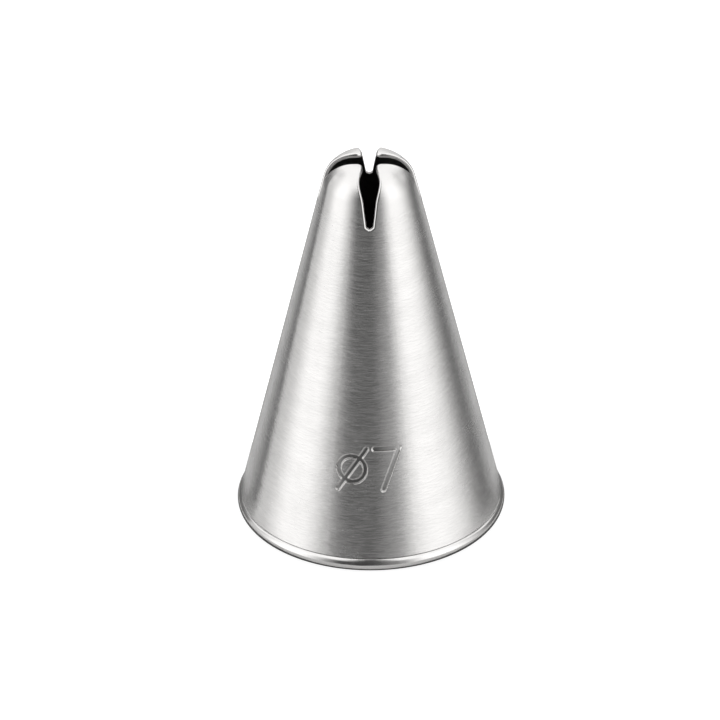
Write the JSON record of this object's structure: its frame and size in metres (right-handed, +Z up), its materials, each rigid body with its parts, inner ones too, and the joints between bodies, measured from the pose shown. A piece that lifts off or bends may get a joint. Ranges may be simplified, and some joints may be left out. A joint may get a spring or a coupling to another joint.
{
  "type": "piping nozzle",
  "caption": "Conical sheet-steel piping nozzle with a rolled rim and a folded, cross-slit small end for piping cream into ribbed shapes.",
  "frame": {"origin": "on the surface that the rim stands on, at the nozzle's axis", "axes": "+Z up the nozzle's axis from the wide rim to the slit small end; -Y towards the front slot"},
  "size_m": [0.018, 0.018, 0.027],
  "materials": {
    "brushed_wall": "bright stainless sheet, brushed round the cone in fine level lines",
    "burnished_rim": "stainless sheet burnished smooth where the rim was rolled",
    "pressed_crown": "stainless sheet smoothed by the press, with bright broken edges along the slots"
  },
  "bodies": {
    "root": {"cone_wall": "brushed_wall", "rolled_rim": "burnished_rim", "petal_front_left": "pressed_crown", "petal_front_right": "pressed_crown", "petal_back_left": "pressed_crown", "petal_back_right": "pressed_crown"}
  },
  "joints": []
}
